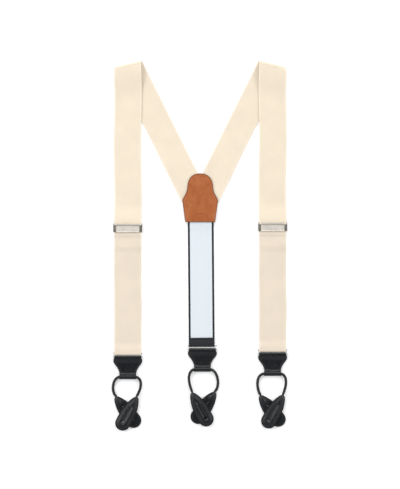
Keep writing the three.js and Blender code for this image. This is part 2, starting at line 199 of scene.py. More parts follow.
# A closed skin round a middle surface: the middle plus and minus its normal times half the
# thickness. Rows run along, columns across. The outer columns have no thickness, so top and
# bottom share them. lift raises only the top.
def shell(name, material, middle, normal, half, uv, lift=0, wrap=False, pole=False, marks=None):
    rows, columns = middle.shape[:2]
    half = np.broadcast_to(half, (rows, columns)).copy()
    half[:, -1] = 0
    own = np.zeros(columns, bool)
    own[0 if pole else 1:-1] = True
    if not pole:
        half[:, 0] = 0
    lift = np.broadcast_to(lift, (rows, columns))
    top = middle + normal * (half + lift * (half > 0))[..., None]
    bottom = middle - normal * half[..., None]
    topIndex = np.arange(rows * columns).reshape(rows, columns)
    bottomIndex = topIndex.copy()
    bottomIndex[:, own] = rows * columns + np.arange(rows * own.sum()).reshape(rows, -1)
    nextRow = np.roll(np.arange(rows), -1) if wrap else np.arange(1, rows)
    here = np.arange(len(nextRow))

    def quads(index):
        a, b = index[here], index[nextRow]
        return np.stack([a[:, :-1], b[:, :-1], b[:, 1:], a[:, 1:]], -1).reshape(-1, 4)

    def bothSides(grid):
        over = grid.reshape(rows * columns, -1)
        return np.concatenate([over, grid[:, own].reshape(rows * own.sum(), -1)])

    faces = quads(topIndex).tolist() + quads(bottomIndex)[:, ::-1].tolist()
    if not wrap:
        for row, turn in ((0, 1), (rows - 1, -1)):  # a strip of quads, as an end may be pointed
            above, below = topIndex[row], bottomIndex[row]
            strip = np.stack([above[:-1], above[1:], below[1:], below[:-1]], -1)[:, ::turn]
            faces += [list(dict.fromkeys(face)) for face in strip.tolist()]
    if pole:
        faces += [topIndex[::-1, 0].tolist(), bottomIndex[:, 0].tolist()]
    points = np.vstack([top.reshape(-1, 3), bottom[:, own].reshape(-1, 3)])
    fields = {key: bothSides(np.broadcast_to(grid, (rows, columns))) for key, grid in (marks or {}).items()}
    fields["under"] = np.append(np.zeros(rows * columns), np.ones(rows * own.sum()))
    return newPiece(name, material, points, faces, bothSides(uv), fields)


# Unit normals of a grid: the cross product of its row and column directions, turned to the
# side that hint points to at the first row.
def gridNormals(middle, hint=upward):
    normal = unit(np.cross(np.gradient(middle, axis=0), np.gradient(middle, axis=1)))
    return -normal if normal[0, middle.shape[1] // 2] @ hint < 0 else normal


# Places across a strip from one edge to the other, closer together at the edges.
def acrossStops(halfWidth, inner=22, edge=(0, 0.08, 0.2, 0.38, 0.6)):
    edge = np.array(edge)
    fraction = np.linspace(-1, 1, inner)
    halfWidth = np.atleast_1d(np.asarray(halfWidth, float))[:, None]
    left = -halfWidth + edge
    return np.hstack([left, fraction * (halfWidth - edge[-1] - 0.4), -left[:, ::-1]])


# Quads from each row of points to the next, where the rows go all the way round.
def hoops(start, end):
    quads = np.stack([start, end, np.roll(end, -1, 1), np.roll(start, -1, 1)], -1)
    return quads.reshape(-1, 4).tolist()


# A round rod along a path: the path plus radius times the cosine and sine of the way round,
# in a frame made of the path's direction and the vertical.
def rod(name, material, path, radius, sides=20, closed=False, relief=0):
    along = unit(np.roll(path, -1, 0) - np.roll(path, 1, 0) if closed else np.gradient(path, axis=0))
    sideways = unit(np.cross(along, upward))
    above = np.cross(sideways, along)
    angle = np.arange(sides) * 2 * np.pi / sides
    radius = np.broadcast_to(radius, len(path))[:, None] * np.ones(sides) + relief
    points = (
        path[:, None]
        + sideways[:, None] * (radius * np.cos(angle))[..., None]
        + above[:, None] * (radius * np.sin(angle))[..., None]
    )
    index = np.arange(len(path) * sides).reshape(len(path), sides)
    rowStart, rowEnd = (index, np.roll(index, -1, 0)) if closed else (index[:-1], index[1:])
    faces = hoops(rowStart, rowEnd)
    if not closed:
        faces += [index[0].tolist(), index[-1][::-1].tolist()]
    around = np.abs(angle / np.pi - 1)  # 1 to 0 to 1, so that the pattern has no seam
    uv = np.stack(np.broadcast_arrays(around[None, :], lengthsAlong(path)[:, None]), -1)
    return newPiece(name, material, points.reshape(-1, 3), faces, uv.reshape(-1, 2))


# A block with rounded edges: the corner of its octant plus the radius times the direction,
# where the direction goes over a sphere.
def block(low, high, radius, fine=4):
    quarter = np.linspace(0, np.pi / 2, fine)
    around = np.concatenate([quarter + k * np.pi / 2 for k in range(4)])
    aroundSign = np.repeat([[1, 1], [-1, 1], [-1, -1], [1, -1]], fine, axis=0)
    rise = np.concatenate([quarter - np.pi / 2, quarter])
    riseSign = np.repeat([-1, 1], fine)[:, None]
    a, r = np.meshgrid(around, rise)
    direction = np.stack([np.cos(a) * np.cos(r), np.sin(a) * np.cos(r), np.sin(r)], -1)
    sign = np.stack(np.broadcast_arrays(aroundSign[:, 0], aroundSign[:, 1], riseSign), -1)
    points = (low + high) / 2 + sign * ((high - low) / 2 - radius) + radius * direction
    index = np.arange(a.size).reshape(a.shape)
    faces = hoops(index[:-1], index[1:]) + [index[0].tolist(), index[-1].tolist()]
    return points.reshape(-1, 3), faces


# Several closed forms as one piece, with doubled points merged and faces turned outwards.
def assemble(name, material, forms):
    points, faces, offset = [], [], 0
    for formPoints, formFaces in forms:
        points.append(formPoints)
        faces += [[i + offset for i in face] for face in formFaces]
        offset += len(formPoints)
    mesh = bpy.data.meshes.new(name)
    mesh.from_pydata((np.vstack(points) / 1000).tolist(), [], faces)
    work = bmesh.new()
    work.from_mesh(mesh)
    bmesh.ops.remove_doubles(work, verts=work.verts, dist=1e-7)
    bmesh.ops.recalc_face_normals(work, faces=work.faces)
    work.to_mesh(mesh)
    work.free()
    mesh.polygons.foreach_set("use_smooth", np.ones(len(mesh.polygons), bool))
    mesh.materials.append(material)
    piece = bpy.data.objects.new(name, mesh)
    scene.collection.objects.link(piece)
    soften = piece.modifiers.new("evenShading", "WEIGHTED_NORMAL")
    soften.keep_sharp = True
    return piece


# A row of stitches: one small bead, longer than it is wide, set at even steps along a line.
def stitches(name, material, line, look, body, slotName):
    sides, rings = 6, 3
    fine = evenly(line, look["pitch"] / 2)
    spots = fine[1::2]
    along = unit(np.gradient(fine, axis=0)[1::2])
    sideways = unit(np.cross(along, upward))
    above = np.cross(sideways, along)
    a, r = np.meshgrid(
        np.arange(sides) * 2 * np.pi / sides, np.linspace(-np.pi / 2, np.pi / 2, rings + 2)[1:-1],
    )
    bead = np.stack([
        np.sin(r) * look["length"] / 2 / math.sin(math.pi / 4),
        np.cos(a) * np.cos(r) * look["thread"],
        np.sin(a) * np.cos(r) * look["thread"],
    ], -1).reshape(-1, 3)
    points = spots[:, None] + (
        bead[None, :, :1] * along[:, None]
        + bead[None, :, 1:2] * sideways[:, None]
        + bead[None, :, 2:] * above[:, None]
    )
    index = np.arange(sides * rings).reshape(rings, sides)
    quads = np.stack([index[:-1], np.roll(index[:-1], -1, 1), np.roll(index[1:], -1, 1), index[1:]], -1)
    starts = np.arange(len(spots))[:, None, None] * sides * rings
    faces = (quads.reshape(-1, 4)[None] + starts).reshape(-1, 4).tolist()
    faces += (index[0][::-1][None] + starts[:, 0]).tolist() + (index[-1][None] + starts[:, 0]).tolist()
    sewn = newPiece(name, material, points.reshape(-1, 3), faces)
    settle(sewn, body, slotName)


# A shader value. Each operator on it adds one math node, so a pattern reads as a plain sum.
class Value:
    def __init__(self, tree, socket):
        self.tree, self.socket = tree, socket

    def calc(self, operation, *others):
        return calcNode(self.tree, operation, self, *others)

    def __add__(self, other):
        return self.calc("ADD", other)

    def __sub__(self, other):
        return self.calc("SUBTRACT", other)

    def __rsub__(self, other):
        return calcNode(self.tree, "SUBTRACT", other, self)

    def __mul__(self, other):
        return self.calc("MULTIPLY", other)

    def __truediv__(self, other):
        return self.calc("DIVIDE", other)

    def __abs__(self):
        return self.calc("ABSOLUTE")

    # The absolute sine: one hump to every half turn.
    def humps(self):
        return abs(self.calc("SINE"))

    # A smooth step from one range to another.
    def ranged(self, low, high, toLow=0.0, toHigh=1.0):
        node = self.tree.nodes.new("ShaderNodeMapRange")
        node.interpolation_type = "SMOOTHSTEP"
        for entry, socket in zip((self, low, high, toLow, toHigh), node.inputs):
            feed(entry, socket)
        return Value(self.tree, node.outputs[0])


def feed(value, socket):
    if isinstance(value, Value):
        value.tree.links.new(value.socket, socket)
    else:
        socket.default_value = value


def calcNode(tree, operation, *values):
    node = tree.nodes.new("ShaderNodeMath")
    node.operation = operation
    for value, socket in zip(values, node.inputs):
        feed(value, socket)
    return Value(tree, node.outputs[0])


# The first colour, going over to the second as the factor rises.
def mix(factor, first, second, blendType="MIX"):
    tree = next(entry.tree for entry in (factor, first, second) if isinstance(entry, Value))
    node = tree.nodes.new("ShaderNodeMix")
    node.data_type = "RGBA"
    node.blend_type = blendType
    feed(factor, node.inputs[0])
    for color, socket in ((first, node.inputs[6]), (second, node.inputs[7])):
        feed((*color, 1) if isinstance(color, tuple) else color, socket)
    return Value(tree, node.outputs[2])


def noise(place, scale, detail=3.0, roughness=0.55, output="Fac"):
    node = place.tree.nodes.new("ShaderNodeTexNoise")
    for key, value in (("Vector", place), ("Scale", scale), ("Detail", detail), ("Roughness", roughness)):
        feed(value, node.inputs[key])
    return Value(place.tree, node.outputs[output])


def cells(place, scale, feature="F1"):
    node = place.tree.nodes.new("ShaderNodeTexVoronoi")
    node.feature = feature
    feed(place, node.inputs["Vector"])
    feed(scale, node.inputs["Scale"])
    return Value(place.tree, node.outputs["Distance"])


def objectPlace(tree):
    return Value(tree, tree.nodes.new("ShaderNodeTexCoord").outputs["Object"])


# The piece's own UV map, in millimetres: the whole, the part across and the part along.
def clothPlace(tree):
    node = tree.nodes.new("ShaderNodeUVMap")
    node.uv_map = "cloth"
    split = tree.nodes.new("ShaderNodeSeparateXYZ")
    tree.links.new(node.outputs[0], split.inputs[0])
    return Value(tree, node.outputs[0]), Value(tree, split.outputs[0]), Value(tree, split.outputs[1])


def markOf(tree, mark):
    node = tree.nodes.new("ShaderNodeAttribute")
    node.attribute_name = mark
    return Value(tree, node.outputs["Fac"])


def newMaterial(name, roughness, metallic=0.0, gloss=0.5, sheen=0.0):
    material = bpy.data.materials.new(name)
    material.use_nodes = True
    sockets = material.node_tree.nodes["Principled BSDF"].inputs
    sockets["Roughness"].default_value = roughness
    sockets["Metallic"].default_value = metallic
    sockets["Specular IOR Level"].default_value = gloss
    sockets["Sheen Weight"].default_value = sheen
    return material, material.node_tree, sockets


# The colour and the relief of a finish; depth is in millimetres.
def showFinish(sockets, color, height, depth):
    feed(color, sockets["Base Color"])
    node = height.tree.nodes.new("ShaderNodeBump")
    node.inputs["Strength"].default_value = 1.0
    node.inputs["Distance"].default_value = depth / 1000
    feed(height, node.inputs["Height"])
    feed(Value(height.tree, node.outputs[0]), sockets["Normal"])


webbingLook = dict(
    light=(0.80, 0.705, 0.565), dark=(0.70, 0.60, 0.46), selvedge=(0.83, 0.735, 0.60),
    halfWidth=19.0, rib=1.05, yarn=0.46, selvedgeWidth=2.6,
    roughness=0.82, gloss=0.25, sheen=0.25, depth=0.09,
)
# A darker copy of the webbing for the run below the adjuster, where the strap lies doubled: painted shade.
paintedShadeLook = dict(light=(0.755, 0.665, 0.55), dark=(0.655, 0.56, 0.445), selvedge=(0.785, 0.695, 0.58))


# Ribs across: the absolute sine of the length. Warp yarns: the absolute sine of the width,
# moved half a yarn on every second rib. The selvedge is a plain band at both edges.
def ribbedWebbing(name, look):
    material, tree, sockets = newMaterial(name, look["roughness"], 0.0, look["gloss"], look["sheen"])
    place, across, along = clothPlace(tree)
    ribCount = along / look["rib"]
    rib = (ribCount * math.pi).humps()
    yarn = (across * (math.pi / look["yarn"]) + ribCount.calc("FLOOR") * (math.pi / 2)).humps()
    weave = rib * (yarn * 0.45 + 0.55)
    fromEdge = look["halfWidth"] - abs(across)
    border = fromEdge.ranged(look["selvedgeWidth"] - 0.25, look["selvedgeWidth"] + 0.25, 1.0, 0.0)
    seam = abs(fromEdge - look["selvedgeWidth"]).ranged(0.1, 0.55, 1.0, 0.0)
    color = mix(weave.ranged(0.1, 0.85), look["dark"], look["light"])
    color = mix(border * 0.55, color, look["selvedge"])
    color = mix(seam * 0.35, color, look["dark"])
    shade = noise(place, 0.03).ranged(0.3, 0.75, 0.965, 1.015)
    color = mix(1.0, color, shade, "MULTIPLY")
    height = weave + noise(place, 2.2, 4.0, 0.7) * 0.35 - seam * 0.6
    showFinish(sockets, color, height, look["depth"])
    return material


elasticLook = dict(
    panel=(0.69, 0.735, 0.775), panelDark=(0.55, 0.60, 0.65), border=(0.008, 0.0095, 0.012),
    borderLight=(0.012, 0.014, 0.018), panelHalf=15.3, rib=0.95, pick=0.62,
    roughness=0.75, gloss=0.25, sheen=0.15, depth=0.1,
)


# Fine ribs along the strap, the absolute sine of the width, crossed by picks, the sine of
# the length. The panel is pale between two dark borders, and the whole reverse is dark.
def wovenElastic(name, look):
    material, tree, sockets = newMaterial(name, look["roughness"], 0.0, look["gloss"], look["sheen"])
    place, across, along = clothPlace(tree)
    rib = (across * (math.pi / look["rib"])).humps()
    pick = (along * (math.pi / look["pick"])).humps()
    weave = rib * 0.65 + pick * 0.35
    border = abs(across).ranged(look["panelHalf"] - 0.12, look["panelHalf"] + 0.12)
    under = markOf(tree, "under").ranged(0.2, 0.4)
    pale = mix(weave.ranged(0.15, 0.8), look["panelDark"], look["panel"])
    dark = mix(weave.ranged(0.2, 0.95), look["border"], look["borderLight"])
    height = weave + noise(place, 2.0, 4.0, 0.7) * 0.3 + border * 0.5
    showFinish(sockets, mix(border.calc("MAXIMUM", under), pale, dark), height, look["depth"])
    return material


tanLook = dict(
    base=(0.365, 0.098, 0.022), pale=(0.43, 0.138, 0.044), deep=(0.25, 0.060, 0.013),
    edge=(0.085, 0.030, 0.013), grain=0.75, depth=0.05, roughness=0.46, gloss=0.35,
)
blackLook = dict(
    base=(0.0045, 0.0058, 0.0075), pale=(0.009, 0.011, 0.0135), deep=(0.0025, 0.003, 0.0035),
    # The pale grey on the next line and its amount paint a highlight round the buttonhole's rim.
    edge=(0.004, 0.004, 0.005), rimHighlightColor=(0.16, 0.155, 0.15), rimHighlightAmount=0.9,
    grain=0.62, depth=0.028, roughness=0.30, gloss=0.36,
)
stamp = dict(
    count=3, pitch=4.2, halfWidth=1.9, halfHeight=1.9, y=44.6,
    color=(0.23, 0.045, 0.012), pressed=0.3,
)


# Leather: grain from the edges of small cells that noise has bent, wrinkles from finer noise,
# colour clouds, a dark painted edge by the distance to the edge, and rubbed high spots.
def dressLeather(name, look, hasRimHighlight=False, isStamped=False):
    material, tree, sockets = newMaterial(name, look["roughness"], 0.0, look["gloss"])
    place = objectPlace(tree)
    bend = tree.nodes.new("ShaderNodeVectorMath")
    bend.operation = "MULTIPLY_ADD"
    feed(noise(place, 260, 2.0, 0.5, "Color"), bend.inputs[0])
    feed((0.0009, 0.0009, 0.0009), bend.inputs[1])
    feed(place, bend.inputs[2])
    bent = Value(tree, bend.outputs[0])
    pebble = cells(bent, 1000 / look["grain"], "DISTANCE_TO_EDGE").ranged(0.0, 0.28)
    pores = cells(bent, 1000 / (look["grain"] * 2.6)).ranged(0.0, 0.16)
    wrinkle = noise(place, 420, 5.0, 0.65)
    cloud = noise(place, 55, 4.0, 0.6)
    blotch = noise(place, 170, 3.0, 0.6)
    color = mix(cloud.ranged(0.3, 0.7), look["base"], look["pale"])
    color = mix(blotch.ranged(0.45, 0.75, 0.0, 0.5), color, look["deep"])
    color = mix(pebble.ranged(0.0, 0.5, 0.4, 0.0), color, look["deep"])
    color = mix(markOf(tree, "edge").ranged(0.35, 1.4, 0.9, 0.0), color, look["edge"])
    if hasRimHighlight:  # a pale painted highlight round the buttonhole's rim
        color = mix(markOf(tree, "rim").ranged(0.15, 0.55, look["rimHighlightAmount"], 0.0), color, look["rimHighlightColor"])
    if isStamped:
        # Lozenges in a row: the distance across over the half width plus the distance along over
        # the half height, with the distance across wrapped at every pitch.
        across, along = clothPlace(tree)[1:]
        across = across - float(shift[0])
        wrapped = abs(across.calc("WRAP", stamp["pitch"] / 2, -stamp["pitch"] / 2))
        away = abs(along - (stamp["y"] + float(shift[1])))
        away = wrapped / stamp["halfWidth"] + away / stamp["halfHeight"]
        inRow = abs(across).calc("LESS_THAN", stamp["count"] * stamp["pitch"] / 2)
        color = mix(away.ranged(0.75, 1.1, 0.75, 0.0) * inRow, color, stamp["color"])
    rubbed = wrinkle.ranged(0.3, 0.75, look["roughness"] + 0.1, look["roughness"] - 0.1)
    feed(rubbed, sockets["Roughness"])
    showFinish(sockets, color, pebble * 0.7 + wrinkle * 0.8 + pores * 0.25, look["depth"])
    return material


metals = dict(
    satinNickel=dict(color=(0.92, 0.87, 0.79), tarnish=(0.33, 0.31, 0.28), roughness=0.5, scratch=0.012),
    # The frame's nickel: the plate's metal made darker, as painted shade.
    paintedShadeNickel=dict(color=(0.33, 0.31, 0.28), tarnish=(0.22, 0.205, 0.18), roughness=0.38, scratch=0.012),
    # The knuckle's nickel: darker than the plate's, as painted shade that dulls its highlight.
    knuckleShadeNickel=dict(color=(0.56, 0.535, 0.49), tarnish=(0.33, 0.31, 0.28), roughness=0.5, scratch=0.012),
    brightWire=dict(color=(0.74, 0.74, 0.75), tarnish=(0.6, 0.6, 0.61), roughness=0.14, scratch=0.004),
)


# Plated metal: a base colour clouded by noise, with fine scratches from noise stretched
# along X, which drive both the roughness and a shallow relief.
def platedMetal(name, look):
    material, tree, sockets = newMaterial(name, look["roughness"], 1.0)
    place = objectPlace(tree)
    stretch = tree.nodes.new("ShaderNodeMapping")
    stretch.inputs["Scale"].default_value = (0.05, 1.0, 1.0)
    feed(place, stretch.inputs["Vector"])
    scratches = noise(Value(tree, stretch.outputs[0]), 5200, 3.0, 0.7)
    tone = mix(noise(place, 240, 4.0, 0.6).ranged(0.35, 0.75, 0.0, 0.22), look["color"], look["tarnish"])
    rough = scratches.ranged(0.25, 0.75, look["roughness"] - 0.06, look["roughness"] + 0.1)
    feed(rough, sockets["Roughness"])
    showFinish(sockets, tone, scratches, look["scratch"])
    return material


cordLook = dict(
    base=(0.007, 0.008, 0.009), light=(0.022, 0.024, 0.027), pitch=3.4, strands=8,
    roughness=0.58, gloss=0.25, sheen=0.08, depth=0.16,
)


# Braid: two sets of strands, the sine of the way round plus and minus the way along.
def braidedCord(name, look):
    material, tree, sockets = newMaterial(name, look["roughness"], 0.0, look["gloss"], look["sheen"])
    around, along = clothPlace(tree)[1:]
    way = around * (look["strands"] * math.pi / 2)
    run = along * (math.pi * 2 / look["pitch"])
    braid = (way + run).humps() * (way - run).humps()
    height = braid + noise(objectPlace(tree), 1500, 3.0, 0.7) * 0.3
    showFinish(sockets, mix(braid.ranged(0.1, 0.8), look["base"], look["light"]), height, look["depth"])
    return material


# Thread: fine noise stands for the twist, in the colour and in the relief.
def sewingThread(name, dark, color):
    material, tree, sockets = newMaterial(name, 0.55)
    twist = noise(objectPlace(tree), 3200, 2.0, 0.5)
    showFinish(sockets, mix(twist.ranged(0.35, 0.65), dark, color), twist, 0.05)
    return material


webbing = ribbedWebbing("ribbedCreamWebbing", webbingLook)
# The darker webbing copy: painted shade for the run below the adjuster.
paintedShadeWebbing = ribbedWebbing("paintedShadeCreamWebbing", {**webbingLook, **paintedShadeLook})
elasticCloth = wovenElastic("wovenElastic", elasticLook)
tanLeather = dressLeather("burnishedTanLeather", tanLook)
stampedLeather = dressLeather("stampedTanLeather", tanLook, isStamped=True)
blackLeather = dressLeather("grainedBlackLeather", blackLook)
rimLitBlackLeather = dressLeather("rimLitBlackLeather", blackLook, hasRimHighlight=True)
metal = {name: platedMetal(name, look) for name, look in metals.items()}
cordBraid = braidedCord("braidedBlackCord", cordLook)
blackThread = sewingThread("blackThread", (0.02, 0.021, 0.023), (0.05, 0.052, 0.056))
tanThread = sewingThread("tanThread", (0.33, 0.11, 0.035), (0.52, 0.20, 0.07))
print("finishes ready")


# Lengths in metres here, but for the camera's frame and aim. The sky is dark right overhead
# and dimmer on the near side, and the table top is faintly lit from within.
studio = dict(
    distance=3.0, frameHeight=684.6, drawnMiddle=(-0.28, 2.1), sensor=36,
    zenith=(0.16, 0.165, 0.175), middle=(1.34, 1.34, 1.34), horizon=(0.85, 0.85, 0.86),
    nearSide=(0.78, 0.78, 0.79), floorColor=(0.95, 0.95, 0.95), floorHalf=4.0, floorZ=-0.00025, glow=0.17,
    panels=[
        dict(name="topPanel", place=(0.0, 1.9, 1.5), size=1.1, power=15.0),
        dict(name="leftPanel", place=(-1.9, 0.2, 1.5), size=1.0, power=17.0),
        dict(name="rightPanel", place=(1.9, 0.0, 1.5), size=1.0, power=9.5),
    ],
)


def setUpCamera():
    lens = bpy.data.cameras.new("camera")
    lens.sensor_width = studio["sensor"]
    lens.lens = studio["sensor"] * studio["distance"] * 1000 / studio["frameHeight"]
    camera = bpy.data.objects.new("camera", lens)
    aimX, aimY = (np.array(studio["drawnMiddle"]) + shift) / 1000
    camera.location = (aimX, aimY, studio["distance"])
    scene.collection.objects.link(camera)
    scene.camera = camera


# The sky's colour by direction: the horizon going over to the middle as Z rises, then the
# near side as Y falls, then the zenith.
def setUpSky():
    world = bpy.data.worlds.new("studioSky")
    world.use_nodes = True
    tree = world.node_tree
    split = tree.nodes.new("ShaderNodeSeparateXYZ")
    tree.links.new(tree.nodes.new("ShaderNodeTexCoord").outputs["Generated"], split.inputs[0])
    y, z = Value(tree, split.outputs[1]), Value(tree, split.outputs[2])
    sky = mix(z.ranged(0.0, 0.35), studio["horizon"], studio["middle"])
    sky = mix(y.ranged(-0.65, 0.0, 1.0, 0.0), sky, studio["nearSide"])
    sky = mix(z.ranged(0.70, 0.97), sky, studio["zenith"])
    feed(sky, tree.nodes["Background"].inputs["Color"])
    scene.world = world


def setUpPanels():
    for look in studio["panels"]:
        lamp = bpy.data.lights.new(look["name"], "AREA")
        lamp.shape = "SQUARE"
        lamp.size = look["size"]
        lamp.energy = look["power"]
        panel = bpy.data.objects.new(look["name"], lamp)
        panel.location = look["place"]
        panel.rotation_mode = "QUATERNION"
        panel.rotation_quaternion = Vector([-part for part in look["place"]]).to_track_quat("-Z", "Y")
        scene.collection.objects.link(panel)


def setUpFloor():
    material, tree, sockets = newMaterial("paleFloor", 0.9, gloss=0.1)
    sockets["Base Color"].default_value = (*studio["floorColor"], 1)
    sockets["Emission Color"].default_value = (1, 1, 1, 1)
    sockets["Emission Strength"].default_value = studio["glow"]
    corners = np.array([(-1, -1, 0), (1, -1, 0), (1, 1, 0), (-1, 1, 0)]) * studio["floorHalf"]
    floor = newPiece("floor", material, (corners + upward * studio["floorZ"]) * 1000, [[0, 1, 2, 3]])


scene.view_settings.view_transform = "Standard"
setUpCamera()
setUpSky()
setUpPanels()
setUpFloor()
print("studio ready")


cordSize = dict(
    radius=1.9, tunnelHeight=3.3, tunnelDrop=27.4, straightHalf=6, legStart=10.5, intoEar=3.2, beforeEar=0.3,
    earHeight=dict(upper=4.05, lower=1.9), taper=0.62, taperLength=7, braidHigh=0.14, braidLow=0.06, sides=24,
)


# The direction from an ear's tip to its round end: the sine and minus the cosine of its angle.
def earDirection(angle):
    return np.array([math.sin(math.radians(angle)), -math.cos(math.radians(angle))])


# The route: up out of one ear on a Bezier, straight through the tab's tunnel, and down to
# the other ear on the mirror Bezier. The ends run a little way between the two leathers. The
# strands stand up by the product of two sines, of the way round plus and minus the twist.
def makeCord(endName):
    end = ends[endName]
    axisY = end["barY"] - ring["pitch"] - cordSize["tunnelDrop"]
    height = cordSize["tunnelHeight"]
    legs = []
    for side, which in zip((-1, 1), sorted(("upper", "lower"), key=lambda k: end[k]["tip"][0])):
        place = end[which]
        tip = np.array(place["tip"]) + shift
        along = earDirection(place["angle"])
        before = earDirection(place["angle"] * 0.5) * (earTipRadius + cordSize["beforeEar"])
        reach = tip + along * earTipRadius - before
        last = cordSize["earHeight"][which]
        firstOut, secondOut, secondUp = place["bend"]
        leg = bezier(
            (end["x"] + side * cordSize["legStart"], axisY, height),
            (end["x"] + side * firstOut, axisY, height),
            (end["x"] + side * secondOut, reach[1] + secondUp, last), (*reach, last), 40,
        )
        legs.append(np.vstack([leg, [(*(tip + along * cordSize["intoEar"]), last)]]))
    straight = [(end["x"] + side * cordSize["straightHalf"], axisY, height) for side in (-1, 1)]
    path = evenly(joinRuns(legs[0][::-1], straight, legs[1]), 1.0)
    run = lengthsAlong(path)
    fromEnd = np.minimum(run, run[-1] - run)
    radius = cordSize["radius"] * ease(fromEnd, 0, cordSize["taperLength"], cordSize["taper"], 1.0)
    around = np.arange(cordSize["sides"]) * 4 * np.pi / cordSize["sides"]
    twist = run[:, None] * np.pi / cordLook["pitch"]
    braid = np.abs(np.sin(around + twist) * np.sin(around - twist))
    relief = cordSize["braidHigh"] * braid - cordSize["braidLow"]
    piece = rod(f"{endName}_braided_cord", cordBraid, path, radius, cordSize["sides"], relief=relief)
    settle(piece, f"{endName}_cord", "cord", f"{endName}_cord")


for endName in ends:
    makeCord(endName)
print("cords ready")


# foldY and foldAngle place the shoulder fold. lie is the height of cloth on the table, and the
# heights after it are for cloth under the patch, over the back run, past it and in the
# adjuster. Then how far from the fold the back run climbs, the front run comes down on it and
# leaves it, how far from the adjuster it rises, and the loops round the two bars.
strap = dict(
    halfWidth=webbingLook["halfWidth"], half=0.575, edgeRadius=0.62,
    foldY=256.5, foldAngle=26.4, bendRadius=3.5,
    lie=0.6, underPatch=1.9, onBack=2.1, afterCrossing=1.85, clamped=4.8, adjusterHalf=5.9,
    climb=(138, 164), downBy=52, leaves=(88, 116), rises=(34, 9),
    roundBar=1.8, rearBarZ=1.95, roundRearBar=1.35,
    middleGap=0.15, endY=40, overlap=0.3, spacing=1.6, sway=0.55, ripple=0.12,
)


# A strip of cloth on a middle surface, as thick as a round edge allows at each place across.
def clothStrip(name, material, middle, w, run, size, normal=None):
    uv = np.stack(np.broadcast_arrays(w, run), -1)
    thick = size["half"] * roundEdge(size["halfWidth"] - np.abs(w), size["edgeRadius"])
    return shell(name, material, middle, gridNormals(middle) if normal is None else normal, thick, uv)


def finishCloth(flat, nodes):
    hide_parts(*nodes)
    flat[0] / 1000
    flat[1] / 1000


# The fold's place: its middle, the direction at right angles to the fold line, half the
# angle between the two runs, and the length of a quarter of the bend.
def foldFrame(side):
    name = "left" if side < 0 else "right"
    half = math.radians(strap["foldAngle"] / 2)
    origin = np.array([ends[name]["x"], strap["foldY"] + shift[1]])
    inward = np.array([-side * math.sin(half), -math.cos(half)])
    return name, origin, inward, half, math.pi * strap["bendRadius"] / 2


# Back run: the fold point plus a distance along the slanted strap and a distance across it,
# with the height an ease from the table up on to the patch lining.
def makeBackRun(side):
    name, origin, inward, half, start = foldFrame(side)
    along = np.array([-side * math.sin(2 * half), -math.cos(2 * half)])
    across = np.array([-math.cos(2 * half), side * math.sin(2 * half)])
    w = acrossStops(strap["halfWidth"])[0]
    first = start / math.cos(half) + side * math.sin(half) * (w / math.cos(half))
    toMiddle = (side * strap["middleGap"] - origin[0] + shift[0] - w * across[0]) / along[0]
    toEnd = (strap["endY"] + shift[1] - origin[1] - w * across[1]) / along[1]
    last = np.minimum(toMiddle, toEnd)
    rows = int(np.ptp([first.min(), last.max()]) / strap["spacing"])
    s = first + (last - first) * np.linspace(0, 1, rows)[:, None]
    plan = origin + s[..., None] * along + w[None, :, None] * across
    middle = np.dstack([plan, ease(s, *strap["climb"], strap["lie"], strap["underPatch"])])
    piece = clothStrip(f"{name}_back_webbing", webbing, middle, w, -s, strap)
    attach(piece, "back")
    length = last - first
    meanLength = (np.diff(w) * (length[1:] + length[:-1]) / 2).sum() / np.ptp(w)
    finishCloth((38, float(meanLength)), [f"{name}_back_strap"])


# Shoulder bend: a half turn about the fold line, where each point also slides along the line
# by its travel times the tangent of half the fold angle.
def makeShoulderTurn(side):
    name, origin, inward, half, start = foldFrame(side)
    bend = strap["bendRadius"]
    w = acrossStops(strap["halfWidth"])[0]
    t = w / math.cos(half)
    angle = np.radians(np.linspace(-90, -270, 31))[:, None]
    travel = bend * (-(angle + math.pi))
    foldLine = np.array([inward[1], -inward[0]])
    reach = bend * np.cos(angle)
    slide = t - side * travel * math.tan(half)
    plan = origin + inward * start + reach[..., None] * inward + slide[..., None] * foldLine
    height = strap["lie"] + bend
    middle = np.dstack([plan, height + bend * np.sin(angle) + 0 * t])
    outward = np.stack(np.broadcast_arrays(
        np.cos(angle) * inward[0], np.cos(angle) * inward[1], np.sin(angle) + 0 * t,
    ), -1)
    run = travel / math.cos(half) - side * t * math.sin(half)
    piece = clothStrip(f"{name}_shoulder_webbing", webbing, middle, w, run, strap, outward)
    (height - bend) / 1000
    (height + bend) / 1000
    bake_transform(piece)
    finishCloth((38, math.pi * bend / math.cos(half)), [f"{name}_shoulder_bend"])


